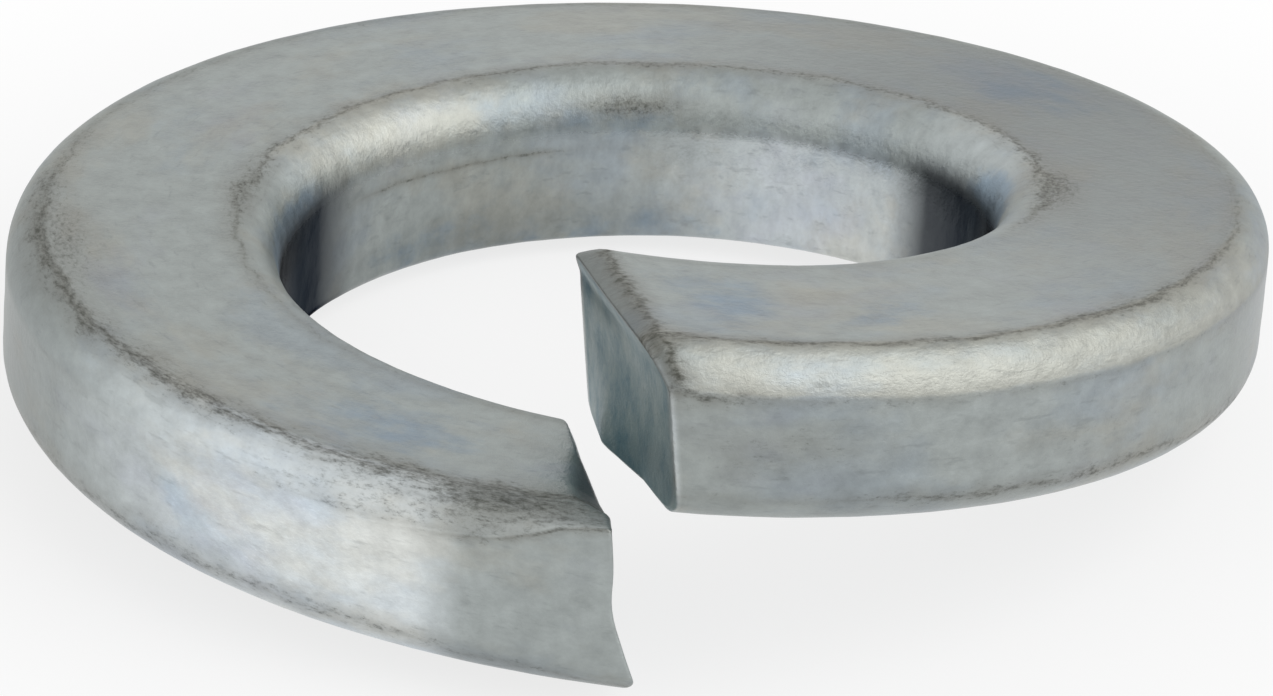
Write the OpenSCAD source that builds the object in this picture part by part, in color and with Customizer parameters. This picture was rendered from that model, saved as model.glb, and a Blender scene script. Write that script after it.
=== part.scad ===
// Spring lock washer. One turn of rounded wire is coiled into a left-hand
// helix and sheared through, so that its two ends stand apart in height.
// Z runs along the hole, and the gap between the ends faces -Y. Angles go
// round from the gap, anticlockwise as seen from above: 0 is the upper end
// and 360 is the lower one.

/* [Ring] */
// Diameter of the hole
bore_d = 8.1; // [6:0.05:12]
// Width of the section, from the hole to the outside
section_w = 3.15; // [2.2:0.05:5]
// Thickness of the section, at the rim
section_t = 2; // [1.6:0.05:3.4]
// How much the bending thickened the section, at the hole
hole_swell = 0.1; // [0:0.01:0.3]
// How far the upper end stands above the lower end
end_rise = 2.05; // [0.2:0.05:4]

/* [Rounded edges] */
// Width of the rounding between the top face and the hole
hole_edge_w = 0.55; // [0.2:0.05:0.9]
// Height of the rounding between the top face and the hole
hole_edge_h = 0.7; // [0.2:0.05:0.8]
// Width of the rounding between the top face and the rim
rim_edge_w = 0.4; // [0.2:0.05:0.8]
// Height of the rounding between the top face and the rim
rim_edge_h = 0.5; // [0.2:0.05:0.8]
// Radius of the rounding between the bottom face and the hole
hole_foot_r = 0.15; // [0.1:0.05:0.8]
// Radius of the rounding between the bottom face and the rim
rim_foot_r = 0.5; // [0.1:0.05:0.8]
// Share of the rim's rounding that is left at the lower end, where the blade squared it
rim_round_left = 0.2; // [0.1:0.05:1]
// Length of the squared stretch, along the rim
squared_l = 1.8; // [0.5:0.1:4]

/* [Sheared ends] */
// Gap between the ends, beside the hole
gap_at_hole = 0.07; // [0.05:0.01:0.6]
// Gap between the ends, at the rim
gap_at_rim = 0.44; // [0.05:0.01:1]
// Angle of the cut from the radius, in degrees
cut_skew = 17; // [0:1:25]
// How far the cut leans sideways over the thickness
cut_lean = 0.26; // [0:0.01:0.6]
// Length of the rolled-over edge along the top of the upper end
roll_l = 0.3; // [0.05:0.01:0.5]
// Depth of the rolled-over edge
roll_h = 0.12; // [0.02:0.01:0.25]
// How far the rolled-over edge overhangs the cut below it
overhang_l = 0.12; // [0:0.01:0.3]
// How far the torn foot of the upper end bulges towards the gap
foot_bulge = 0.15; // [0:0.01:0.3]
// Where the foot bulges most, as a share of the way from the hole to the rim
bulge_at = 0.32; // [0.2:0.02:0.8]
// How far the torn lip stands out at the foot of the lower end
lip_l = 0.2; // [0:0.01:0.3]
// Height of the torn lip
lip_h = 0.85; // [0.4:0.05:1.4]

/* [Hidden] */
zinc = [0.63, 0.66, 0.68];

bore_r = bore_d / 2;
rim_r = bore_r + section_w;
mid_r = bore_r + section_w / 2;
top_up = section_t / 2;

// The coil is swept a little past both walls, and two cylinders then trim it
skin = 0.02;
trim_margin = 1;
wall_h = section_t + hole_swell + end_rise + 2 * trim_margin;
round_fn = 180;

// Steps of angle along the turn, and how far from an end its slant dies out
turn = 360;
turn_step = 4;
end_blend = 20;

// Shares of the rolled edge's length at which it has a station, and how far
// down the cut the rolling reaches, as a multiple of its depth
roll_stations = [0, 0.12, 0.45, 1];
roll_reach = 4 * roll_h;

// How far the bulge reaches to each side, as a share of the section's width,
// and how sharply the lip is drawn out towards its foot
bulge_reach = 0.29;
lip_curve = 1.5;

// A rounding takes at most this share of the side that it is on. Steps are
// the flats along a rounding and down a wall.
corner_share = 0.4;
corner_steps = 4;
wall_steps = 3;

// A quarter of an ellipse, from the face to the wall, as [in from the wall,
// down from the face]. Its last stretch runs on until it is past the wall.
function corner(w, h) =
    let (cw = min(w, corner_share * section_w))
    let (ch = min(h, corner_share * section_t))
    let (arc = [for (k = [0 : corner_steps])
        let (a = 90 * k / corner_steps)
        [cw * (1 - sin(a)), ch * (1 - cos(a))]])
    let (last = arc[corner_steps])
    let (before = arc[corner_steps - 1])
    let (past = (last - before) * skin / before.x)
    [for (k = [0 : corner_steps]) k < corner_steps ? arc[k] : last + past];

// One side of the section from top to bottom, as [in from the wall, height]
function side(top_corner, foot_corner) =
    let (above = [for (p = top_corner) [p.x, top_up - p.y]])
    let (below = [for (k = [corner_steps : -1 : 0])
        [foot_corner[k].x, foot_corner[k].y - top_up]])
    let (start = above[corner_steps])
    let (wall = [for (k = [1 : wall_steps - 1])
        start + (below[0] - start) * k / wall_steps])
    concat(above, wall, below);

// Both sides, with the rim's roundings at the given share of their height
function hole_side() = side(corner(hole_edge_w, hole_edge_h), corner(hole_foot_r, hole_foot_r));
function rim_side(share) =
    side(corner(rim_edge_w, rim_edge_h * share), corner(rim_foot_r, rim_foot_r * share));
rows = len(hole_side());

// The bottom face falls from the rim to the hole, because the wire was bent
function swell(r, up) =
    hole_swell * max(0, -up / top_up) * (1 - (r - bore_r) / section_w);

// The section as [radius, height]: down the rim, over the foot's corner, and
// back up the hole
function section(share) =
    let (rim = rim_side(share))
    let (hole = hole_side())
    let (flat = concat(
        [for (p = rim) [rim_r - p.x, p.y]],
        [[bore_r + bulge_at * section_w, -top_up]],
        [for (k = [rows - 1 : -1 : 0]) [bore_r + hole[k].x, hole[k].y]]))
    [for (p = flat) [p.x, p.y - swell(p.x, p.y)]];
around = 2 * rows + 1;

// The sheared faces. The gap opens from the hole to the rim and the whole cut
// leans with height. The top of the upper end overhangs it and its foot bulges
// to a blunt corner. The foot of the lower end is drawn out into a lip.
function cut_middle(r, up) = tan(cut_skew) * (r - mid_r) - cut_lean * up / section_t;
function half_gap(r) =
    (gap_at_hole + (gap_at_rim - gap_at_hole) * (r - bore_r) / section_w) / 2;
function overhang(up) = overhang_l * max(0, 1 - (top_up - up) / roll_reach);
function bulge(r, up) =
    let (off = abs((r - bore_r) / section_w - bulge_at))
    foot_bulge * max(0, 1 - off / bulge_reach) * min(1, max(0, -up / top_up));
function lip(up) = lip_l * min(1, pow(max(0, 1 - (up + top_up) / lip_h), lip_curve));
function upper_end(r, up) =
    asin((cut_middle(r, up) + half_gap(r) - overhang(up) - bulge(r, up)) / r);
function lower_end(r, up) = asin((cut_middle(r, up) - half_gap(r) + lip(up)) / r);

// A station is [angle, distance back from the end's face]
stations = concat(
    [for (q = roll_stations) [0, q * roll_l]],
    [for (a = [turn_step : turn_step : turn]) [a, 0]]
);

function degrees_along(l, r) = l / r * 180 / PI;
function fade(angle) = max(0, 1 - angle / end_blend);
function angle_at(s, r, up) = s[0] < turn / 2
    ? s[0] + fade(s[0]) * upper_end(r, up) + degrees_along(s[1], r)
    : s[0] + fade(turn - s[0]) * lower_end(r, up);

// The rim's roundings get lower towards the lower end
function rim_share(angle) =
    let (back = degrees_along(squared_l, rim_r))
    1 - (1 - rim_round_left) * max(0, 1 - (turn - angle) / back);

// The blade pulled the top of the upper end down, most of all at the edge
function roll_drop(s, up) = s[0] > 0 ? 0
    : roll_h * (1 - sqrt(1 - pow(1 - s[1] / roll_l, 2)))
        * max(0, 1 - (top_up - up) / roll_reach);

function helix_z(angle) = end_rise * (0.5 - angle / turn);
function place(s, p) =
    let (a = angle_at(s, p.x, p.y))
    [p.x * sin(a), -p.x * cos(a), helix_z(a) + p.y - roll_drop(s, p.y)];

module coil() {
    points = [for (s = stations) for (p = section(rim_share(s[0]))) place(s, p)];
    last = (len(stations) - 1) * around;
    skin_faces = [for (i = [0 : len(stations) - 2]) for (j = [0 : around - 1])
        let (a = i * around + j)
        let (b = i * around + (j + 1) % around)
        each [[a, b + around, b], [a, a + around, b + around]]];
    // Each end is closed row by row, straight across from rim to hole, and
    // then down to the foot's corner
    end_faces = [for (k = [0 : rows - 2])
        let (a = k)
        let (b = around - 1 - k)
        each [[a, b - 1, b], [a, a + 1, b - 1],
              [last + a, last + b, last + b - 1], [last + a, last + b - 1, last + a + 1]]];
    foot_faces = [[rows - 1, rows, rows + 1], [last + rows - 1, last + rows + 1, last + rows]];
    polyhedron(points, concat(skin_faces, end_faces, foot_faces));
}

module washer() {
    color(zinc)
    difference() {
        intersection() {
            coil();
            cylinder(r = rim_r, h = wall_h, center = true, $fn = round_fn);
        }
        cylinder(r = bore_r, h = wall_h, center = true, $fn = round_fn);
    }
}

washer();
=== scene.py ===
# %% [markdown]
# # A split lock washer, zinc plated
#
# The real washer starts as flat steel wire with rolled, rounded edges.
# The wire is coiled once, sheared through, hardened and zinc plated. So the
# picture has three subjects: the rolled skin, the two torn ends, and the thin
# soft-grey plating with the oil and dust that collect along its edges.
#
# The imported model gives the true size. This script keeps that size, builds a
# much finer skin over it, and gives the skin its finish.

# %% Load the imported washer
from math import pi, radians

import bpy
import numpy as np
from mathutils import Matrix, Vector, noise


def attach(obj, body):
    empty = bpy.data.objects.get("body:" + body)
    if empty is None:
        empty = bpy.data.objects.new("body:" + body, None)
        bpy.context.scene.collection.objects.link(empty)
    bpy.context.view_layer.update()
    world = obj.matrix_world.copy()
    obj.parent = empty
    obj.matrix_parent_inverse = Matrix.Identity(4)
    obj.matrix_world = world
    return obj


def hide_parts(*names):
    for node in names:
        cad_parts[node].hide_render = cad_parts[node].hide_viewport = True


MM = 0.001
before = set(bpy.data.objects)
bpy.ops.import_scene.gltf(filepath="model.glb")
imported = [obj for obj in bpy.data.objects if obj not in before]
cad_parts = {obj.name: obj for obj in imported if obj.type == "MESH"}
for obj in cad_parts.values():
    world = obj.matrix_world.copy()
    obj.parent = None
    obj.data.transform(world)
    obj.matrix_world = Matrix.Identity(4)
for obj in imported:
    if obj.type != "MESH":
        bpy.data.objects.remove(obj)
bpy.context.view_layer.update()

# %% [markdown]
# ## Camera
#
# The photograph was taken with a long lens from a little above the washer.
# The place and the lens below were found by matching the outline of the coil
# and its hole, so the camera is set by its own three axes and not by a target.

# %% Place the camera
camera_data = bpy.data.cameras.new("product_camera")
camera_data.sensor_width = 36
camera_data.lens = 187.54
camera_data.clip_start = 0.005
camera_data.clip_end = 5
camera = bpy.data.objects.new("product_camera", camera_data)
camera_right = Vector((0.99635, 0.05001, 0.06921))
camera_up = Vector((-0.08281, 0.36829, 0.92601))
camera_back = Vector((0.02082, -0.92836, 0.37109))
turned = Matrix((camera_right, camera_up, camera_back)).transposed().to_4x4()
camera.matrix_world = Matrix.Translation(Vector((1.6826, -71.0497, 27.5126)) * MM) @ turned
bpy.context.scene.collection.objects.link(camera)
bpy.context.scene.camera = camera
print("Camera is", round(camera.location.length / MM), "mm from the washer")

# %% [markdown]
# ## Sizes
#
# All sizes are millimetres, and they repeat the named sizes of the CAD source,
# apart from the last three, whose slopes are simpler there or left out.
# Angles go round from the gap, anticlockwise as seen from above: 0 is the
# upper end and 360 is the lower one. A point of the wire's section has a
# radius and a height above the middle of the wire.

# %% Sizes of the ring
BORE_R = 4.05
WIRE_W = 3.15
WIRE_T = 2.0
HOLE_SWELL = 0.1
END_RISE = 2.05
RIM_R = BORE_R + WIRE_W
MID_R = BORE_R + WIRE_W / 2
TOP = WIRE_T / 2
print("Ring:", 2 * BORE_R, "mm hole,", round(2 * RIM_R, 1), "mm over the rim")

# %% Sizes of the roundings, as (width, height)
HOLE_EDGE = (0.55, 0.70)
HOLE_FOOT = (0.15, 0.15)
RIM_EDGE = (0.40, 0.50)
RIM_FOOT = (0.50, 0.50)
print("Roundings of the top: hole", HOLE_EDGE, "and rim", RIM_EDGE)

# %% Sizes of the sheared ends
CUT_SKEW = 17
CUT_LEAN = 0.26
GAP_AT_HOLE = 0.07
GAP_AT_RIM = 0.44
OVERHANG = 0.12
ROLL_REACH = 0.48
FOOT_BULGE = 0.15
BULGE_AT = 0.32
BULGE_REACH = 0.29
LIP = 0.2
LIP_H = 0.85
SLOPE_DROP = 0.13
PRESSED_DROP = 0.16
PRESSED_L = 0.32
print("Gap:", GAP_AT_HOLE, "mm at the hole and", GAP_AT_RIM, "mm at the rim")

# %% [markdown]
# ## The rolled section
#
# Rolling leaves wide soft corners along the top, a tight one under the hole
# and a round one under the rim. Where the blade squared the wire, beside the
# lower end, the rim's corners are lower, and the upper one is almost gone. So
# their sizes follow the angle.
#
# The section is a closed loop of points. It is built from quarter ellipses and
# straight runs, with many more points than the CAD source can afford, because
# a highlight shows every flat along a rounding.

# %% Section of the wire at an angle
CORNER_STEPS = 12
WALL_STEPS = 16
FACE_STEPS = 24
ROWS = 2 * (CORNER_STEPS + 1) + WALL_STEPS - 1


def corner(width, height):
    """A quarter ellipse from the face to the wall: in from the wall, down from the face."""
    a = np.linspace(0, pi / 2, CORNER_STEPS + 1)
    return np.stack([width * (1 - np.sin(a)), height * (1 - np.cos(a))], axis=1)


def side(top_corner, foot_corner):
    """One side of the wire from top to bottom: in from the wall, height."""
    above = np.stack([top_corner[:, 0], TOP - top_corner[:, 1]], axis=1)
    below = np.stack([foot_corner[::-1, 0], foot_corner[::-1, 1] - TOP], axis=1)
    share = np.linspace(0, 1, WALL_STEPS + 1)[1:-1, None]
    wall = above[-1] + (below[0] - above[-1]) * share
    return np.concatenate([above, wall, below])


def section(angle):
    """The loop: down the rim, in along the bottom, up the hole, out along the top."""
    rim_w = np.interp(angle, [335, 361], [RIM_EDGE[0], 0.60])
    rim_h = np.interp(angle, [336, 347, 351, 354, 361], [RIM_EDGE[1], 0.38, 0.24, 0.12, 0.05])
    foot_h = np.interp(angle, [336, 352, 361], [RIM_FOOT[1], 0.36, 0.27])
    rim = side(corner(rim_w, rim_h), corner(RIM_FOOT[0], foot_h)) * (-1, 1) + (RIM_R, 0)
    hole = side(corner(*HOLE_EDGE), corner(*HOLE_FOOT)) + (BORE_R, 0)
    across = np.linspace(0, 1, FACE_STEPS + 1)[1:-1, None]
    bottom = rim[-1] + (hole[-1] - rim[-1]) * across
    top = hole[0] + (rim[0] - hole[0]) * across
    loop = np.concatenate([rim, bottom, hole[::-1], top])
    sag = HOLE_SWELL * np.clip(-loop[:, 1] / TOP, 0, None) * (RIM_R - loop[:, 0]) / WIRE_W
    loop[:, 1] -= sag
    return loop


AROUND = len(section(180))
print("Section:", AROUND, "points,", ROWS, "on each side")

# %% [markdown]
# ## The sheared ends
#
# The blade cut across the wire at a slant. Each end has a smooth band where
# the blade went in and a rougher field where the steel tore. The foot of the
# lower end was drawn out into a lip, and the foot of the upper end bulges.
#
# Each function gives how far the end's face stands sideways from the line of
# angle 0, which is also 360, in millimetres, for a radius and a height in the
# section. A smooth noise adds the torn relief.

# %% Relief of the torn steel
def relief(radius, up, seed, fine):
    """Uneven height of a torn face, from about -1 to 1, drawn out along the blade's way."""
    values = [
        noise.noise(Vector((r * 2.2, h * 0.9, seed)))
        + 0.5 * noise.noise(Vector((r * 7, h * 1.8, seed + 9)))
        + fine * noise.noise(Vector((r * 16, h * 5, seed + 4)))
        for r, h in zip(np.ravel(radius), np.ravel(up))
    ]
    return np.reshape(values, np.shape(radius))


def cut_middle(radius, up):
    return np.tan(radians(CUT_SKEW)) * (radius - MID_R) - CUT_LEAN * up / WIRE_T


def half_gap(radius):
    return (GAP_AT_HOLE + (GAP_AT_RIM - GAP_AT_HOLE) * (radius - BORE_R) / WIRE_W) / 2


def torn(radius, up, height, seed):
    """Torn relief of a height in mm, which dies out at the borders of the face."""
    across = (radius - BORE_R) / WIRE_W
    inside = np.clip(np.minimum(across, 1 - across) / 0.08, 0, 1)
    inside *= np.clip((TOP - np.abs(up)) / 0.15, 0, 1)
    return inside, height * relief(radius, up, seed, 0.4) * inside


print("Relief in the middle of the wire:", round(float(relief(MID_R, 0, 3, 0.4)), 2))


# %% Face of the upper end
def upper_face(radius, up):
    overhang = OVERHANG * np.clip(1 - (TOP - up) / ROLL_REACH, 0, None)
    across = (radius - BORE_R) / WIRE_W
    low = np.clip(-up / TOP, 0, 1)
    bulge = FOOT_BULGE * np.clip(1 - np.abs(across - BULGE_AT) / BULGE_REACH, 0, None) * low
    hollow = 0.05 * np.exp(-(((across - 0.62) / 0.25) ** 2) - ((up - 0.15) / 0.5) ** 2)
    inside, rough = torn(radius, up, 0.006, 3)
    return cut_middle(radius, up) + half_gap(radius) - overhang - bulge + hollow * inside + rough


rim_corner = float(upper_face(RIM_R, TOP))
print("Upper end, at the rim's top:", round(rim_corner, 2), "mm from the line of angle 0")


# %% Face of the lower end
def lower_face(radius, up):
    lip = LIP * np.clip(1 - (up + TOP) / LIP_H, 0, 1) ** 1.5
    across = (radius - BORE_R) / WIRE_W
    high = np.clip((up - 0.2) / 0.8, 0, 1)
    swollen = np.interp(radius, [4.05, 5.3, 6.02, 6.6, 7.2], [0.04, 0.02, 0.06, 0.085, 0.0]) * high
    waist = 0.05 * np.exp(-(((up - 0.05) / 0.3) ** 2)) * np.clip(across * 2 - 1, 0, 1)
    blunt = 0.22 * np.clip((-up - 0.78) / 0.22, 0, 1) ** 2 * np.clip((across - 0.7) / 0.3, 0, 1)
    _, rough = torn(radius, up, 0.015, 21)
    return cut_middle(radius, up) - half_gap(radius) + lip + swollen - waist - blunt + rough


top_gap = float(upper_face(RIM_R, TOP) - lower_face(RIM_R, TOP))
print("Gap at the rim's top:", round(top_gap, 2), "mm")

# %% [markdown]
# ## The coil
#
# The section is swept round from one face to the other. Stations are close
# together beside the ends, where the edges are soft, and about 0.1 mm apart
# along the rest. Beside the upper end the blade also pulled the top down into
# a short slope.

# %% Stations along the coil
NEAR = np.array([0, 0.006, 0.018, 0.035, 0.055, 0.08, 0.11, 0.15, 0.2, 0.26,
                 0.33, 0.41, 0.5, 0.6, 0.7, 0.8, 0.9, 1.0])
MIDDLE_STATIONS = 340
EDGE_SOFT = 0.05


def soften(loop, back):
    """Draws the loop in where it meets an end, so that the edge there is rounded."""
    inset = EDGE_SOFT * (1 - np.sqrt(1 - np.clip(1 - back / EDGE_SOFT, 0, 1) ** 2))
    along = np.roll(loop, -1, axis=0) - np.roll(loop, 1, axis=0)
    outward = np.stack([-along[:, 1], along[:, 0]], axis=1)
    outward /= np.linalg.norm(outward, axis=1, keepdims=True)
    return loop - outward * inset


def slope_length(radius):
    """How far back from the upper end's face the top was pulled down, in mm."""
    return 0.32 - 0.16 * (radius - BORE_R) / WIRE_W


def rolled_slope(radius, up, back):
    """How far the top of the upper end was pulled down, at a distance back from its face."""
    length = slope_length(radius)
    reach = np.clip(1 - (TOP - up) / ROLL_REACH, 0, 1)
    return SLOPE_DROP * np.clip(1 - back / length, 0, 1) ** 1.3 * reach


def pressed_length(radius):
    """How far back from the lower end's face the top was pressed down, in mm."""
    return np.interp(radius, [5.1, 6.2, 6.6, 6.9], [0.0, PRESSED_L, 0.30, 0.0])


def pressed_slope(radius, up, back):
    """The blade also pressed down the top of the lower end, over part of its width."""
    length = pressed_length(radius)
    reach = np.clip(1 - (TOP - up) / 0.5, 0, 1)
    share = np.clip(1 - back / (length + 0.01), 0, 1)
    return PRESSED_DROP * share * reach * length / PRESSED_L


def placed(angle, radius, up):
    """A point of the coil, in mm, from its angle in degrees."""
    a = np.radians(angle)
    z = END_RISE * (0.5 - angle / 360) + up
    return np.stack([radius * np.sin(a), -radius * np.cos(a), z], axis=-1)


print("Slope of the upper end:", slope_length(BORE_R), "mm long beside the hole")

# %% [markdown]
# Every point also keeps a few measures for the finish: where it is along the
# wire, how far it is from the lines where a face meets a rounding, and how far
# it is from a cut. Dirt and wear follow those lines on the real washer, so the
# material reads them and needs no picture.

# %% Sweep the skin
def line_distances(loop):
    """Signed distance round the section from its four lines, in mm."""
    steps = np.linalg.norm(np.roll(loop, -1, axis=0) - loop, axis=1)
    run = np.concatenate([[0], np.cumsum(steps)])
    whole = run[-1]
    run = run[:-1]
    hole_top = run[2 * ROWS + FACE_STEPS - 2]
    rim_line = (run + whole / 2) % whole - whole / 2
    hole_line = hole_top - run
    wall_line = run - run[CORNER_STEPS]
    foot_line = run - run[ROWS - 1 - CORNER_STEPS]
    return np.stack([rim_line, hole_line, wall_line, foot_line], axis=1)


def sweep():
    """Points and measures of every station, from the upper end to the lower one."""
    points, coil, lines, cuts = [], [], [], []
    last = len(NEAR) * 2 + MIDDLE_STATIONS - 1
    for i in range(last + 1):
        back_upper = NEAR[i] if i < len(NEAR) else NEAR[-1]
        back_lower = NEAR[last - i] if last - i < len(NEAR) else NEAR[-1]
        share = (i - len(NEAR) + 1) / (MIDDLE_STATIONS + 1)
        if i < len(NEAR):
            rough_angle = np.degrees(back_upper / MID_R)
        elif last - i < len(NEAR):
            rough_angle = 360 - np.degrees(back_lower / MID_R)
        else:
            rough_angle = np.degrees(1 / MID_R) * (1 - 2 * share) + 360 * share
        loop = section(rough_angle)
        distances = line_distances(loop)
        loop = soften(loop, min(back_upper, back_lower))
        radius, up = loop[:, 0], loop[:, 1]
        start = upper_face(radius, up) / radius + back_upper / radius
        stop = 2 * pi + lower_face(radius, up) / radius - back_lower / radius
        if i < len(NEAR):
            angle = start
        elif last - i < len(NEAR):
            angle = stop
        else:
            angle = start + (stop - start) * share
        angle = np.degrees(angle)
        from_cut = np.radians(angle) * radius - upper_face(radius, up)
        coil.append(np.stack([np.radians(angle) * MID_R, radius, up], axis=1))
        lines.append(distances)
        to_lower = (2 * pi - np.radians(angle)) * radius + lower_face(radius, up)
        drop = rolled_slope(radius, up, from_cut) + pressed_slope(radius, up, to_lower)
        points.append(placed(angle, radius, up - drop))
        cuts.append(np.minimum(from_cut, to_lower))
    return [np.concatenate(part) for part in (points, coil, lines, cuts)]


skin_points, skin_coil, skin_lines, skin_cuts = sweep()
STATIONS = len(skin_points) // AROUND
print("Skin:", STATIONS, "stations,", len(skin_points), "points")

# %% [markdown]
# ## Closing the ends
#
# Each end is a patch of squares whose border is the first or last loop. Its
# inner points are spread straight across from the rim to the hole, and then
# the end's own function says how far each stands out.

# %% Fill the two ends
def end_patch(station, face, slope, turn_start):
    """Inner points of an end, and the grid of point numbers that covers it."""
    first = station * AROUND
    ring = np.arange(first, first + AROUND)
    rim, bottom = ring[:ROWS], ring[ROWS:ROWS + FACE_STEPS - 1]
    hole = ring[ROWS + FACE_STEPS - 1:2 * ROWS + FACE_STEPS - 1][::-1]
    top = ring[2 * ROWS + FACE_STEPS - 1:][::-1]
    grid = np.zeros((ROWS, FACE_STEPS + 1), int)
    grid[:, 0], grid[:, -1] = rim, hole
    grid[0, 1:-1], grid[-1, 1:-1] = top, bottom
    inner = np.arange((ROWS - 2) * (FACE_STEPS - 1)).reshape(ROWS - 2, FACE_STEPS - 1)
    share = np.linspace(0, 1, FACE_STEPS + 1)[None, 1:-1, None]
    flat = skin_coil[:, 1:]
    spread = flat[rim][1:-1, None] * (1 - share) + flat[hole][1:-1, None] * share
    radius, up = spread[..., 0].ravel(), spread[..., 1].ravel()
    angle = np.degrees(turn_start + face(radius, up) / radius)
    made = placed(angle, radius, up - slope(radius, up, 0))
    coil = np.stack([np.radians(angle) * MID_R, radius, up], axis=1)
    return made, coil, grid, inner


upper_points, upper_coil, upper_grid, inner = end_patch(0, upper_face, rolled_slope, 0)
lower_points, lower_coil, lower_grid, inner = end_patch(
    STATIONS - 1, lower_face, pressed_slope, 2 * pi)
upper_grid[1:-1, 1:-1] = inner + len(skin_points)
lower_grid[1:-1, 1:-1] = inner + len(skin_points) + len(upper_points)
points = np.concatenate([skin_points, upper_points, lower_points])
coil = np.concatenate([skin_coil, upper_coil, lower_coil])
print("Ends:", len(upper_points), "points each")

# %% [markdown]
# ## Uneven skin
#
# Rolling, tumbling in the plating barrel and the plating itself leave the skin
# a little wavy. The waves are at most two hundredths of a millimetre deep, but
# they break up every reflection. They are cut into the skin and never added to
# it, so the washer stays inside its real size.

# %% Dent the skin
def dent_depth(place):
    """Depth of the waves and of the hammered grain at a point along the wire, in mm."""
    x, r, h = place
    wide = noise.noise(Vector((x * 0.5, r * 0.9, h * 0.9)))
    small = noise.noise(Vector((x * 2.2, r * 3.2, h * 3.2 + 7)))
    grain = noise.noise(Vector((x * 6, r * 7, h * 7 + 3)))
    return 0.006 * (1 + wide) + 0.003 * (1 + small) + 0.0024 * (1 + grain)


def section_normals(place):
    """Rough outward direction in the section: away from the middle of the wire."""
    r, h = place[:, 1] - MID_R, place[:, 2]
    r, h = r / (WIRE_W / 2), h / TOP
    r, h = np.sign(r) * np.abs(r) ** 5, np.sign(h) * np.abs(h) ** 5
    length = np.hypot(r, h) + 1e-9
    return r / length, h / length


depth = np.array([dent_depth(place) for place in skin_coil])
a = skin_coil[:, 0] / MID_R
out_r, out_z = section_normals(skin_coil)
outward = np.stack([out_r * np.sin(a), -out_r * np.cos(a), out_z], axis=1)
points[:len(skin_points)] -= outward * depth[:, None]
print("Dents: up to", round(float(depth.max()), 3), "mm deep")

# %% Join everything in one mesh
def skin_quads():
    i = np.arange(STATIONS - 1)[:, None] * AROUND
    j = np.arange(AROUND)[None, :]
    k = (j + 1) % AROUND
    return np.stack([i + j, i + AROUND + j, i + AROUND + k, i + k], axis=-1).reshape(-1, 4)


def grid_quads(grid, flip):
    quads = np.stack([grid[:-1, :-1], grid[1:, :-1], grid[1:, 1:], grid[:-1, 1:]], axis=-1)
    quads = quads.reshape(-1, 4)
    return quads[:, ::-1] if flip else quads


quads = np.concatenate([
    skin_quads(), grid_quads(upper_grid, False), grid_quads(lower_grid, True)])
washer_mesh = bpy.data.meshes.new("lock_washer")
washer_mesh.from_pydata((points * MM).tolist(), [], quads.tolist())
washer_mesh.shade_smooth()
washer_mesh.validate()
washer = bpy.data.objects.new("lock_washer", washer_mesh)
bpy.context.scene.collection.objects.link(washer)
print("Washer:", len(washer_mesh.polygons), "quads")

# %% Store the measures on the mesh
def store(name, values, kind="FLOAT", key="value"):
    """Keeps one number or one place for every point, under a name that a material can read."""
    layer = washer_mesh.attributes.new(name, kind, "POINT")
    layer.data.foreach_set(key, np.ascontiguousarray(values, dtype=np.float32).ravel())


inner_count = len(points) - len(skin_points)


def store_skin(name, on_skin, on_ends=0.0):
    """Stores a measure of the skin, with one value or a list of them for the two ends."""
    store(name, np.concatenate([on_skin, np.broadcast_to(on_ends, inner_count)]))


store("coil_mm", coil, "FLOAT_VECTOR", "vector")
store_skin("on_cut", np.zeros(len(skin_points)), 1.0)
print("Ends have", inner_count, "points of their own")

# %% [markdown]
# ## Where wear and painted sheen brighten the plating, and where dirt gathers
#
# The finish isn't the same all round. Over the last stretch of the coil, up to
# where the blade squared it, the rim is brighter: partly rubbed, and partly a
# painted reflection of the light. The hole's wall is brighter too: partly
# burnished by the mandrel that the wire was wound on, and partly a painted
# reflection. Painted highlights lie along the roundings, and the rim beside the
# upper cut is lightened, worn and partly a painted highlight. These strengths
# are set by the angle along the coil, with straight runs between a few values.

# %% Parts of the skin
def window(values, start, full_start, full_end, end):
    return np.interp(values, [start, full_start, full_end, end], [0, 1, 1, 0])


def bell(values, middle, spread):
    return np.exp(-(((values - middle) / spread) ** 2))


angle = np.degrees(skin_coil[:, 0] / MID_R)
radius, up = skin_coil[:, 1], skin_coil[:, 2]
wall_line = skin_lines[:, 2]
place_in_loop = np.tile(np.arange(AROUND), STATIONS)
rim_side = place_in_loop < ROWS
hole_start = ROWS + FACE_STEPS - 1
hole_side = (place_in_loop >= hole_start) & (place_in_loop < hole_start + ROWS)
top_face = ~(rim_side | hole_side) & (up > 0)
on_rim_rounding = np.clip(0.3 - wall_line / 0.06, 0, 1) * rim_side
on_hole_rounding = np.clip((up - 0.25) / 0.2, 0, 1) * hole_side
print("Top face:", int(top_face.sum()), "points")

# %% Wear and painted sheen
# Brighter rim: partly rubbed wear, partly a painted reflection of the light.
rim_sheen_and_wear = np.interp(angle, [0, 25, 50, 70, 285, 300, 312, 326, 344, 349, 361],
                       [0.05, 0.12, 0.2, 0.0, 0.05, 0.1, 0.4, 0.85, 1.0, 0.15, 0.1])
# Painted highlight along the rim's rounding, stronger towards the wall.
rounding_painted_highlight = np.interp(angle, [0, 4, 10, 60, 90, 285, 361],
                            [0.0, 0.05, 0.28, 0.2, 0.0, 0.1, 0.2])
# Brighter hole wall: partly burnished, partly a painted reflection.
hole_sheen_and_wear = np.interp(angle, [0, 95, 118, 140, 160, 180, 205, 361],
                        [0.2, 0.1, 0.45, 0.65, 0.75, 0.2, 0.0, 0.1])
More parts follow.
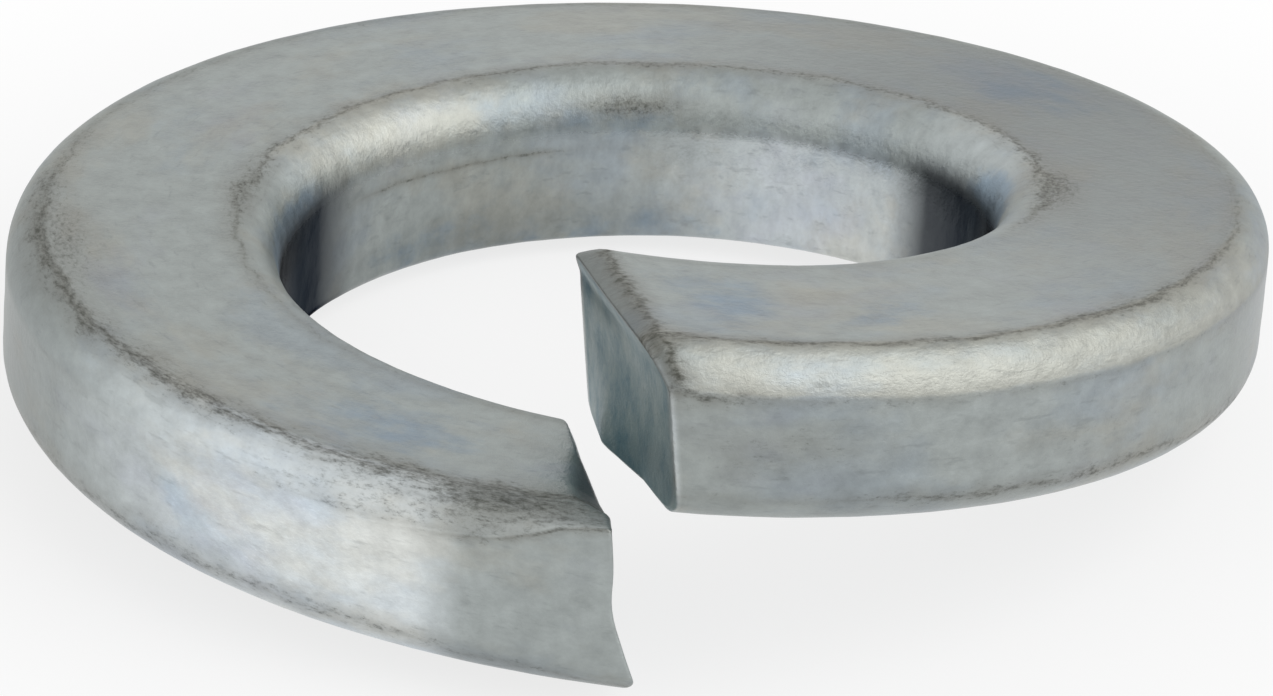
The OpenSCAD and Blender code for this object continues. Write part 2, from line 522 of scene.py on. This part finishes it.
# Painted highlights on the hole's rounding.
hole_rounding_painted_highlight = np.interp(angle, [0, 92, 105, 122, 135, 205, 225, 248, 262, 361],
                                 [0.0, 0.0, 0.3, 0.3, 0.08, 0.0, 0.22, 0.28, 0.0, 0.0])
towards_wall = np.clip(1 + wall_line / 0.4, 0, 1)
rounding_painted_highlight *= on_rim_rounding * (0.7 + 1.1 * towards_wall)
hole_sheen_and_wear += (hole_rounding_painted_highlight - hole_sheen_and_wear) * on_hole_rounding
sheen_and_wear = np.where(rim_side, np.maximum(rim_sheen_and_wear, rounding_painted_highlight), hole_sheen_and_wear * hole_side)
# The rim's edge beside the upper cut is lightened: worn, and partly a painted highlight.
worn_edge_and_highlight = bell(skin_cuts, 0, 0.05) * rim_side * (angle < 90)
sheen_and_wear = np.maximum(sheen_and_wear, 0.6 * worn_edge_and_highlight)
store_skin("sheen_and_wear", sheen_and_wear)
print("Worn bright: up to", round(float(sheen_and_wear.max()), 2))

# %% [markdown]
# The wall of the hole is the smoothest part. The roundings and the torn ends
# are the roughest. The grain shows most on the rim's rounding, from the upper
# end to a quarter of the way round.

# %% Roughness and grain
base_rough = 0.34 + 0.16 * on_rim_rounding + np.where(hole_side, 0.22 * on_hole_rounding - 0.14, 0)
grain = np.where(hole_side, 0.15 + 0.35 * on_hole_rounding, 0.5)
grain = np.maximum(grain, on_rim_rounding * window(angle, -1, 0, 60, 90))
store_skin("base_rough", base_rough, 0.42)
store_skin("grain", grain, 0.5)
print("Roughness: from", round(float(base_rough.min()), 2), "to", round(float(base_rough.max()), 2))

# %% [markdown]
# The photograph shows two stretches of the hole almost black below the
# rounding. That is probably a dark surround, mirrored in the smooth wall. Here
# that reflection is painted into the colour as a dark patch of the same tone, so
# the room can stay plain and pale. The upper cut has painted shade under its
# rolled edge and along it, and the small slope that the blade pressed into the
# lower end is a little darker too.

# %% Painted dark reflection and shade
below_rounding = np.clip((0.6 - up) / 0.24, 0, 1) * hole_side
# Painted reflection of a dark surround, on two stretches of the hole's wall below its rounding.
left_dark_reflection = np.interp(angle, [230, 236, 241, 248, 264, 290, 300],
                       [0.0, 0.2, 0.6, 1.0, 0.8, 0.8, 0.0])
right_dark_reflection = np.interp(angle, [76, 86, 102, 114, 125, 135], [0.0, 0.8, 0.8, 1.0, 1.0, 0.0])
on_pressed = np.clip((pressed_length(radius) - skin_cuts) / 0.1, 0, 1)
on_pressed *= (angle > 270) & (up > 0.5)
dark_reflection_and_slope = np.maximum((left_dark_reflection + right_dark_reflection) * below_rounding, 0.3 * on_pressed)
on_upper_cut = np.arange(inner_count) < len(upper_points)
cut_radius, cut_up = coil[len(skin_points):, 1], coil[len(skin_points):, 2]
# Painted shade on the upper cut, under its rolled edge and along that edge.
under_overhang = bell(cut_up, 0.5, 0.16) * window(cut_radius, 4.0, 4.3, 5.0, 5.9)
overhang_edge = bell(cut_up, 0.9, 0.15) * window(cut_radius, 4.0, 4.1, 5.2, 6.3)
cut_painted_shade = 0.7 * np.maximum(under_overhang, 0.7 * overhang_edge) * on_upper_cut
store_skin("dark_reflection_and_shade", dark_reflection_and_slope, cut_painted_shade)
print("Tarnish:", round(100 * float((dark_reflection_and_slope > 0.5).mean()), 1), "% of the skin is dark")

# %% [markdown]
# Some smudges of dirt lie away from the lines. The clearest are on the hole's
# rounding opposite the gap, on the right and the left of the top face, on the
# wall beside the upper end, and beside both cuts.

# %% Smudges
def spot(at_angle, spread, at_radius, width, at_up=None, height=1.0):
    """A soft spot on the skin: 1 in its middle, and next to nothing past its spread."""
    off = ((angle - at_angle) / spread) ** 2 + ((radius - at_radius) / width) ** 2
    if at_up is not None:
        off = off + ((up - at_up) / height) ** 2
    return np.exp(-off)


to_slope = skin_cuts - slope_length(radius)
beside_upper = (angle < 90) * np.clip((up - 0.45) / 0.2, 0, 1)
on_slope = np.clip(-to_slope / 0.06, 0, 1) * beside_upper
smudges = (
    0.95 * spot(184, 10, 4.15, 0.3, 0.6, 0.15)
    + 0.5 * on_rim_rounding * window(angle, 316, 338, 361, 362)
    + 0.42 * spot(15, 9, RIM_R, 1, -0.1, 0.35)
    + 0.3 * spot(45, 14, RIM_R, 1, -0.2, 0.4)
    + 0.85 * spot(90, 12, 4.75, 0.3)
    + 0.7 * spot(282, 14, 6.6, 0.45)
    + 0.5 * spot(351, 9, 6.85, 0.28, 0.9, 0.25)
    + 0.8 * spot(2, 3, 6.95, 0.3, 0.8, 0.3)
)
store_skin("smudge", np.maximum(smudges, 0.3 * on_slope), 0.3)
print("Smudges: up to", round(float(smudges.max()), 2))

# %% [markdown]
# The plating is made darker on the right and the back of the top face, on the
# left of the rim, at the foot of the hole and on the two slopes beside the
# cuts.

# %% Darker zinc
hole_foot = hole_side * window(up, -1.2, -1.1, -0.75, -0.35) * window(angle, 150, 180, 225, 240)
duller = (
    top_face * np.interp(angle, [40, 80, 100, 125, 150, 185], [0.0, 0.72, 0.8, 1.0, 0.8, 0.0])
    + 0.45 * rim_side * window(angle, 262, 275, 290, 310)
    + 0.5 * hole_foot
)
store_skin("duller", np.maximum(duller, np.maximum(on_slope, on_pressed)))
print("Dulled:", round(100 * float((duller > 0.5).mean()), 1), "% of the skin")

# %% [markdown]
# The chromate dip leaves clouds of blue and of straw. The clear ones are set
# here by place: on the top face, mostly beside the two ends, in the hole and on
# the rim.

# %% Places of the coloured clouds
fringe = bell(up, 0.5, 0.2) * hole_side
blue = (
    0.8 * top_face * (
        spot(12, 6, 5.6, 0.8) + spot(29, 6, 6.0, 0.35)
        + spot(336, 8, 5.8, 0.8) + spot(131, 9, 5.9, 0.7))
    + 0.3 * rim_side * (spot(318, 6, RIM_R, 1, -0.1, 0.5) + spot(303, 4, RIM_R, 1, 0.1, 0.4))
    + 0.35 * hole_foot
    + 0.6 * spot(186, 12, 4.15, 0.3, 0.5, 0.2) + 0.8 * spot(99, 9, 4.2, 0.25, 0.7, 0.35)
    + fringe * (window(angle, 238, 250, 280, 292) + window(angle, 82, 90, 108, 116))
)
straw = (
    0.75 * on_rim_rounding * window(angle, 3, 10, 75, 95)
    + 0.7 * on_hole_rounding * window(angle, 198, 212, 246, 258)
    + 0.9 * top_face * spot(21, 5, 5.4, 0.45)
)
store_skin("blue", blue)
store_skin("straw", straw)
print("Clouds: blue up to", round(float(blue.max()), 2), "and straw", round(float(straw.max()), 2))

# %% [markdown]
# Oil and dust gather along every line where a flat face meets a rounding, and
# thickest at the corners of the cut ends. Each line has a strength and a half
# width in millimetres, by the angle. The foot's dirt sits a little below its
# line, in the rounding. Two short lines are added: a score that the mandrel
# left in the hole, and the border of the slope beside the upper cut.
#
# A distance is stored in units of DIRT_SPREAD half widths, and the two ends
# count as FAR from every line.

# %% Dirt along the lines
DIRT_SPREAD = 1.5
FAR = 9.0
FOOT_DIRT_DROP = 0.18
rim_line, hole_line, wall_line, foot_line = skin_lines.T
dirt_lines = {
    "rim_line": (
        rim_line,
        np.interp(angle, [0, 12, 40, 52, 66, 100, 250, 275, 300, 345, 361],
                  [1.0, 0.9, 0.9, 1.0, 0.9, 0.5, 0.5, 0.9, 1.0, 0.95, 1.0]),
        np.interp(angle, [0, 4, 9, 40, 54, 80, 255, 275, 300, 330, 348, 361],
                  [0.34, 0.30, 0.12, 0.12, 0.2, 0.12, 0.2, 0.3, 0.26, 0.26, 0.34, 0.22])),
    "hole_line": (
        hole_line,
        np.interp(angle, [0, 60, 80, 100, 120, 180, 240, 270, 300, 361],
                  [0.3, 0.3, 0.95, 0.95, 0.85, 0.75, 0.85, 0.85, 0.5, 0.3]),
        np.interp(angle, [0, 70, 90, 105, 240, 265, 290, 361],
                  [0.12, 0.14, 0.3, 0.16, 0.15, 0.24, 0.12, 0.12])),
    "wall_line": (
        wall_line,
        np.interp(angle, [0, 8, 14, 70, 100, 338, 350, 361],
                  [0.85, 0.8, 0.5, 0.4, 0.1, 0.1, 0.7, 0.8]),
        np.interp(angle, [0, 8, 16, 345, 361], [0.24, 0.2, 0.12, 0.07, 0.07])),
    "foot_line": (
        foot_line - FOOT_DIRT_DROP,
        np.interp(angle, [0, 18, 28, 60, 100, 200, 300, 320, 352, 361],
                  [0.3, 0.4, 0.75, 0.75, 0.5, 0.4, 0.55, 0.65, 0.6, 0.5]),
        np.interp(angle, [0, 290, 330, 361], [0.15, 0.2, 0.24, 0.12])),
    "score_line": (up - 0.1, 0.7 * hole_side * window(angle, 188, 200, 230, 240), 0.05),
    "slope_line": (to_slope, beside_upper, 0.16),
}
for name, (away_mm, strength, half_width) in dirt_lines.items():
    store_skin(name, away_mm / (DIRT_SPREAD * half_width), FAR)
    store_skin(name + "_dirt", strength)
print("Dirt follows", len(dirt_lines), "lines")

# %% [markdown]
# ## Zinc plate
#
# Zinc over steel is a soft light-grey metal. It isn't a mirror: the crystals of
# the plating scatter the light, so its roughness is about a third. A clear
# chromate dip leaves pale clouds on it. Oil and fine dust stay as brown specks.
#
# Everything is drawn from noise whose scale is set in features per millimetre
# of wire, so that the pattern keeps its real size.

# %% Colours and the node helper
def linear(hex_colour):
    """An sRGB hex colour as the linear colour that a shader wants."""
    parts = [int(hex_colour[i:i + 2], 16) / 255 for i in (1, 3, 5)]
    return [p / 12.92 if p <= 0.04045 else ((p + 0.055) / 1.055) ** 2.4 for p in parts] + [1]


def add(tree, kind, inputs=None, **settings):
    """Adds a node with its settings. An input is a value, or a socket to link from."""
    node = tree.nodes.new(kind)
    for key, value in settings.items():
        setattr(node, key, value)
    for key, value in (inputs or {}).items():
        if isinstance(value, bpy.types.NodeSocket):
            tree.links.new(value, node.inputs[key])
        else:
            node.inputs[key].default_value = value
    return node


# ShaderNodeMix keeps its sockets at these places
MIX_FACTOR, FLOAT_A, FLOAT_B, MIX_A, MIX_B, MIX_OUT = 0, 2, 3, 6, 7, 2
SMOOTH = "SMOOTHSTEP"
print("Dull zinc is", [round(c, 3) for c in linear("#949a98")[:3]], "in linear light")

# %% Start the material
zinc = bpy.data.materials.new("zinc_plated_steel")
zinc.use_nodes = True
tree = zinc.node_tree
tree.nodes.clear()
coil_mm = add(tree, "ShaderNodeAttribute", attribute_name="coil_mm").outputs["Vector"]
measure = {
    name: add(tree, "ShaderNodeAttribute", attribute_name=name).outputs["Fac"]
    for name in ("on_cut", "sheen_and_wear", "base_rough", "grain", "dark_reflection_and_shade",
                 "smudge", "duller", "blue", "straw")
}
print("The material reads", len(measure) + 1, "measures of the mesh")

# %% [markdown]
# The clouds are one or two millimetres wide, and longer along the wire. One
# noise gives three unlike fields in its red, green and blue, one for each tint.

# %% Clouds of the chromate dip
along = add(tree, "ShaderNodeMapping", {"Vector": coil_mm, "Scale": (0.6, 1.0, 1.0)})
cloud_noise = add(tree, "ShaderNodeTexNoise", {
    "Vector": along.outputs["Vector"], "Scale": 0.75, "Detail": 5.0, "Roughness": 0.6})
clouds = add(tree, "ShaderNodeSeparateColor", {"Color": cloud_noise.outputs["Color"]})
dull = linear("#949a98")
# The paler tone is worn zinc together with painted sheen and highlights.
worn_and_sheen_tone = linear("#d3dadd")
plate = add(tree, "ShaderNodeMix", {MIX_FACTOR: measure["sheen_and_wear"], MIX_A: dull, MIX_B: worn_and_sheen_tone},
            data_type="RGBA").outputs[MIX_OUT]
for channel, tint, low, high, strength in (
    ("Red", "#8698ad", 0.50, 0.66, 0.24),
    ("Green", "#a8a292", 0.50, 0.66, 0.30),
    ("Blue", "#9396a8", 0.54, 0.70, 0.20),
):
    amount = add(tree, "ShaderNodeMapRange", {
        "Value": clouds.outputs[channel], "From Min": low, "From Max": high, "To Max": strength},
        interpolation_type=SMOOTH)
    tinted = add(tree, "ShaderNodeMix", {
        MIX_FACTOR: amount.outputs["Result"], MIX_A: plate, MIX_B: linear(tint)},
        data_type="RGBA", blend_type="COLOR")
    plate = tinted.outputs[MIX_OUT]
print("Clouds of the chromate dip:", len(tree.nodes), "nodes so far")

# %% [markdown]
# The clouds that were set by place get uneven borders from a noise.

# %% Clouds in their places
border_noise = add(tree, "ShaderNodeTexNoise", {
    "Vector": along.outputs["Vector"], "Scale": 1.9, "Detail": 5.0, "Roughness": 0.6})
reach = add(tree, "ShaderNodeMapRange", {
    "Value": border_noise.outputs["Fac"], "From Min": 0.3, "From Max": 0.7,
    "To Min": -0.4, "To Max": 0.4})
for name, tone in (("blue", "#8598a9"), ("straw", "#a8a89f")):
    bordered = add(tree, "ShaderNodeMath", {
        0: measure[name], 1: reach.outputs["Result"]}, operation="ADD")
    amount = add(tree, "ShaderNodeMapRange", {
        "Value": bordered.outputs[0], "From Min": 0.2, "From Max": 0.9, "To Max": 0.75},
        interpolation_type=SMOOTH)
    plate = add(tree, "ShaderNodeMix", {
        MIX_FACTOR: amount.outputs["Result"], MIX_A: plate, MIX_B: linear(tone)},
        data_type="RGBA", blend_type="COLOR").outputs[MIX_OUT]
print("Clouds in their places:", len(tree.nodes), "nodes so far")

# %% [markdown]
# Two finer patterns lie over the clouds. Mottling of a few tenths of a
# millimetre is the grain of the plating. Thin dark flecks run along the wire,
# where the drawing die left scores that hold a little dirt.

# %% Mottling and flecks
mottle = add(tree, "ShaderNodeTexNoise", {
    "Vector": coil_mm, "Scale": 3.2, "Detail": 6.0, "Roughness": 0.68})
shade = add(tree, "ShaderNodeMapRange", {
    "Value": mottle.outputs["Fac"], "From Min": 0.3, "From Max": 0.7,
    "To Min": 0.84, "To Max": 1.15})
plate = add(tree, "ShaderNodeVectorMath", {0: plate, 1: shade.outputs["Result"]},
            operation="MULTIPLY").outputs[0]
plate = add(tree, "ShaderNodeMix", {
    MIX_FACTOR: measure["duller"], MIX_A: plate, MIX_B: linear("#c8cacb")},
    data_type="RGBA", blend_type="MULTIPLY").outputs[MIX_OUT]
# Painted dark reflection in the hole, painted shade under the upper cut's rolled edge, and a darker
# pressed slope.
plate = add(tree, "ShaderNodeMix", {
    MIX_FACTOR: measure["dark_reflection_and_shade"], MIX_A: plate, MIX_B: linear("#54575a")},
    data_type="RGBA").outputs[MIX_OUT]
scored = add(tree, "ShaderNodeMapping", {"Vector": coil_mm, "Scale": (0.28, 1.0, 1.0)})
fleck_noise = add(tree, "ShaderNodeTexNoise", {
    "Vector": scored.outputs["Vector"], "Scale": 11.0, "Detail": 3.0, "Roughness": 0.6})
flecks = add(tree, "ShaderNodeMapRange", {
    "Value": fleck_noise.outputs["Fac"], "From Min": 0.56, "From Max": 0.74, "To Max": 0.22},
    interpolation_type=SMOOTH)
plate = add(tree, "ShaderNodeMix", {
    MIX_FACTOR: flecks.outputs["Result"], MIX_A: plate, MIX_B: linear("#5d6263")},
    data_type="RGBA").outputs[MIX_OUT]
print("Mottling and flecks:", len(tree.nodes), "nodes so far")

# %% [markdown]
# The cut steel is darker than the skin and blue-green, probably because the
# plating is thinner in the torn hollows. Its streaks run the way that the blade
# went.

# %% Sheared steel
blade_way = add(tree, "ShaderNodeMapping", {"Vector": coil_mm, "Scale": (0.5, 1.0, 0.7)})
streaks = add(tree, "ShaderNodeTexNoise", {
    "Vector": blade_way.outputs["Vector"], "Scale": 2.1, "Detail": 7.0, "Roughness": 0.72})
streak_tone = add(tree, "ShaderNodeMapRange", {
    "Value": streaks.outputs["Fac"], "From Min": 0.3, "From Max": 0.7})
torn_tone = add(tree, "ShaderNodeMix", {
    MIX_FACTOR: streak_tone.outputs["Result"], MIX_A: linear("#5f8492"), MIX_B: linear("#aebab8")},
    data_type="RGBA")
plate = add(tree, "ShaderNodeMix", {
    MIX_FACTOR: measure["on_cut"], MIX_A: plate, MIX_B: torn_tone.outputs[MIX_OUT]},
    data_type="RGBA").outputs[MIX_OUT]
print("Sheared steel:", len(tree.nodes), "nodes so far")

# %% [markdown]
# Dirt: a band around each line, made ragged by one noise and broken into
# specks by another. The specks on the real washer are about 0.03 mm. Here the
# largest are about 0.06 mm wide and 0.1 mm long, so that they show at the
# picture's size.

# %% Dirt along the edges
ragged = add(tree, "ShaderNodeTexNoise", {
    "Vector": along.outputs["Vector"], "Scale": 3.4, "Detail": 3.0, "Roughness": 0.55})
drift = add(tree, "ShaderNodeMapRange", {
    "Value": ragged.outputs["Fac"], "From Min": 0.3, "From Max": 0.7,
    "To Min": -0.25, "To Max": 0.25})
speck_noise = add(tree, "ShaderNodeTexNoise", {
    "Vector": along.outputs["Vector"], "Scale": 17.0, "Detail": 4.0, "Roughness": 0.8})
dirt = measure["smudge"]
for line in dirt_lines:
    distance = add(tree, "ShaderNodeAttribute", attribute_name=line).outputs["Fac"]
    strength = add(tree, "ShaderNodeAttribute", attribute_name=line + "_dirt").outputs["Fac"]
    moved = add(tree, "ShaderNodeMath", {
        0: distance, 1: drift.outputs["Result"]}, operation="ADD")
    away = add(tree, "ShaderNodeMath", {0: moved.outputs[0]}, operation="ABSOLUTE")
    wide = add(tree, "ShaderNodeMapRange", {
        "Value": away.outputs[0], "From Max": 1.3, "To Min": 0.68, "To Max": 0.0},
        interpolation_type=SMOOTH)
    core = add(tree, "ShaderNodeMapRange", {
        "Value": away.outputs[0], "From Max": 0.35, "To Min": 0.32, "To Max": 0.0})
    both = add(tree, "ShaderNodeMath", {
        0: wide.outputs["Result"], 1: core.outputs["Result"]}, operation="ADD")
    share = add(tree, "ShaderNodeMath", {0: both.outputs[0], 1: strength}, operation="MULTIPLY")
    dirt = add(tree, "ShaderNodeMath", {
        0: dirt, 1: share.outputs[0]}, operation="MAXIMUM").outputs[0]
haze = add(tree, "ShaderNodeMath", {0: dirt, 1: 0.6}, operation="MULTIPLY")
plate = add(tree, "ShaderNodeMix", {
    MIX_FACTOR: haze.outputs[0], MIX_A: plate, MIX_B: linear("#6f6c63")},
    data_type="RGBA").outputs[MIX_OUT]
need = add(tree, "ShaderNodeMapRange", {"Value": dirt, "To Min": 0.66, "To Max": 0.28})
above = add(tree, "ShaderNodeMath", {
    0: speck_noise.outputs["Fac"], 1: need.outputs["Result"]}, operation="SUBTRACT")
specks = add(tree, "ShaderNodeMapRange", {
    "Value": above.outputs[0], "From Max": 0.40, "To Max": 0.8}, interpolation_type=SMOOTH)
plate = add(tree, "ShaderNodeMix", {
    MIX_FACTOR: specks.outputs["Result"], MIX_A: plate, MIX_B: linear("#3f4039")},
    data_type="RGBA").outputs[MIX_OUT]
print("Dirt along the edges:", len(tree.nodes), "nodes so far")

# %% [markdown]
# Specks of dirt are rough. Where dark reflection and shade are painted, the
# mirror is darkened at a grazing angle too, which bare metal would brighten.
# The bump is the grain of the plating only; every larger form is in the mesh.

# %% Roughness, grain and the shader
uneven = add(tree, "ShaderNodeMapRange", {
    "Value": mottle.outputs["Fac"], "From Min": 0.3, "From Max": 0.7,
    "To Min": -0.05, "To Max": 0.05})
rough = add(tree, "ShaderNodeMath", {
    0: measure["base_rough"], 1: uneven.outputs["Result"]}, operation="ADD")
dusty = add(tree, "ShaderNodeMix", {
    MIX_FACTOR: specks.outputs["Result"], FLOAT_A: rough.outputs[0], FLOAT_B: 0.7},
    data_type="FLOAT")
grain_noise = add(tree, "ShaderNodeTexNoise", {
    "Vector": coil_mm, "Scale": 9.0, "Detail": 5.0, "Roughness": 0.7})
bump = add(tree, "ShaderNodeBump", {
    "Height": grain_noise.outputs["Fac"], "Strength": measure["grain"], "Distance": 0.024 * MM})
# The mirror is darkened too where the dark reflection and shade are painted.
edge_tint = add(tree, "ShaderNodeMix", {
    MIX_FACTOR: measure["dark_reflection_and_shade"], MIX_A: linear("#ffffff"), MIX_B: linear("#77787d")},
    data_type="RGBA")
shader = add(tree, "ShaderNodeBsdfPrincipled", {
    "Base Color": plate, "Metallic": 1.0, "Roughness": dusty.outputs[0],
    "Specular Tint": edge_tint.outputs[MIX_OUT], "Normal": bump.outputs["Normal"]})
add(tree, "ShaderNodeOutputMaterial", {"Surface": shader.outputs["BSDF"]})
washer_mesh.materials.append(zinc)
print("Zinc plate:", len(tree.nodes), "nodes")

# %% [markdown]
# ## Where it rests
#
# A lock washer that nothing presses lies a little tilted: it stands on the tip
# of its lower end and on the underside of the coil opposite the gap. The floor
# is that plane, so the contact shadows are true.

# %% Floor
FLOOR_RISE_X = 0.052
FLOOR_RISE_Y = 0.0997
FLOOR_HALF = 45
FLOOR_CLEAR = 0.005
heights = points[:, 2] - FLOOR_RISE_X * points[:, 0] - FLOOR_RISE_Y * points[:, 1]
floor_z = float(heights.min()) - FLOOR_CLEAR
floor_corners = [
    Vector((x, y, floor_z + FLOOR_RISE_X * x + FLOOR_RISE_Y * y)) * MM
    for x, y in ((-FLOOR_HALF, -FLOOR_HALF), (FLOOR_HALF, -FLOOR_HALF),
                 (FLOOR_HALF, FLOOR_HALF), (-FLOOR_HALF, FLOOR_HALF))
]
floor_mesh = bpy.data.meshes.new("floor")
floor_mesh.from_pydata(floor_corners, [], [(0, 1, 2, 3)])
floor = bpy.data.objects.new("floor", floor_mesh)
bpy.context.scene.collection.objects.link(floor)
print("Floor is", round(floor_z, 2), "mm below the middle of the washer")

# %% [markdown]
# The paper is plain and pale. For the camera and for reflections it is lifted
# part of the way to white, and fully so away from the washer, so the picture
# has no horizon, while the soft shadow beside the steel stays.

# %% Paper
paper = bpy.data.materials.new("white_paper")
paper.use_nodes = True
tree = paper.node_tree
tree.nodes.clear()
rays = add(tree, "ShaderNodeLightPath")
seen = add(tree, "ShaderNodeMath", {
    0: rays.outputs["Is Camera Ray"], 1: rays.outputs["Is Glossy Ray"]}, operation="MAXIMUM")
seen = add(tree, "ShaderNodeMath", {
    0: seen.outputs[0], 1: rays.outputs["Is Transmission Ray"]}, operation="MAXIMUM")
floor_place = add(tree, "ShaderNodeTexCoord")
floor_far = add(tree, "ShaderNodeVectorMath", {
    0: floor_place.outputs["Object"]}, operation="LENGTH")
lift = add(tree, "ShaderNodeMapRange", {
    "Value": floor_far.outputs["Value"], "From Min": 0.006, "From Max": 0.016,
    "To Min": 0.76, "To Max": 1.0}, interpolation_type=SMOOTH)
lift = add(tree, "ShaderNodeMath", {
    0: lift.outputs["Result"], 1: seen.outputs[0]}, operation="MULTIPLY")
matte = add(tree, "ShaderNodeBsdfDiffuse", {"Color": linear("#f6f6f6")})
white = add(tree, "ShaderNodeEmission", {"Color": linear("#ffffff"), "Strength": 1.0})
surface = add(tree, "ShaderNodeMixShader", {
    0: lift.outputs[0], 1: matte.outputs["BSDF"], 2: white.outputs["Emission"]})
add(tree, "ShaderNodeOutputMaterial", {"Surface": surface.outputs["Shader"]})
floor_mesh.materials.append(paper)
print("Paper:", len(tree.nodes), "nodes")

# %% [markdown]
# ## Studio
#
# The room is white to the camera and in reflections, and weaker as a light, so
# that the shadow under the coil stays. Two large soft boxes, one high on the
# right and one low on the left, light the paper and give the bright bands on the
# roundings, which painted highlights widen.

# %% Room
SEEN_LEVEL = 1.0
LIGHT_LEVEL = 0.5
world = bpy.data.worlds.new("studio")
bpy.context.scene.world = world
world.use_nodes = True
tree = world.node_tree
tree.nodes.clear()
rays = add(tree, "ShaderNodeLightPath")
seen = add(tree, "ShaderNodeMath", {
    0: rays.outputs["Is Camera Ray"], 1: rays.outputs["Is Glossy Ray"]}, operation="MAXIMUM")
seen = add(tree, "ShaderNodeMath", {
    0: seen.outputs[0], 1: rays.outputs["Is Transmission Ray"]}, operation="MAXIMUM")
level = add(tree, "ShaderNodeMapRange", {
    "Value": seen.outputs[0], "To Min": LIGHT_LEVEL, "To Max": SEEN_LEVEL})
room = add(tree, "ShaderNodeBackground", {
    "Color": linear("#ffffff"), "Strength": level.outputs["Result"]})
add(tree, "ShaderNodeOutputWorld", {"Surface": room.outputs["Background"]})
print("Room: seen at", SEEN_LEVEL, "and lights at", LIGHT_LEVEL)


# %% Lamps
def softbox(name, direction, distance, size, watts):
    """A round soft lamp that looks at the washer from a direction. Lengths are in mm."""
    data = bpy.data.lights.new(name, "AREA")
    data.shape = "DISK"
    data.size = size * MM
    data.energy = watts
    lamp = bpy.data.objects.new(name, data)
    away = Vector(direction).normalized()
    lamp.location = away * distance * MM
    lamp.rotation_euler = away.to_track_quat("Z", "Y").to_euler()
    lamp.visible_camera = False
    bpy.context.scene.collection.objects.link(lamp)
    return lamp


softbox("high_right_box", (0.95, -0.5, 0.9), 120, 165, 0.09)
softbox("low_left_box", (-0.9, -0.6, 0.35), 130, 160, 0.024)
print("Lamps:", len(bpy.data.lights))

# %% Set the view, attach the washer to its body and hide the imported part
bpy.context.scene.view_settings.view_transform = "Standard"
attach(washer, "root")
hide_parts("washer")
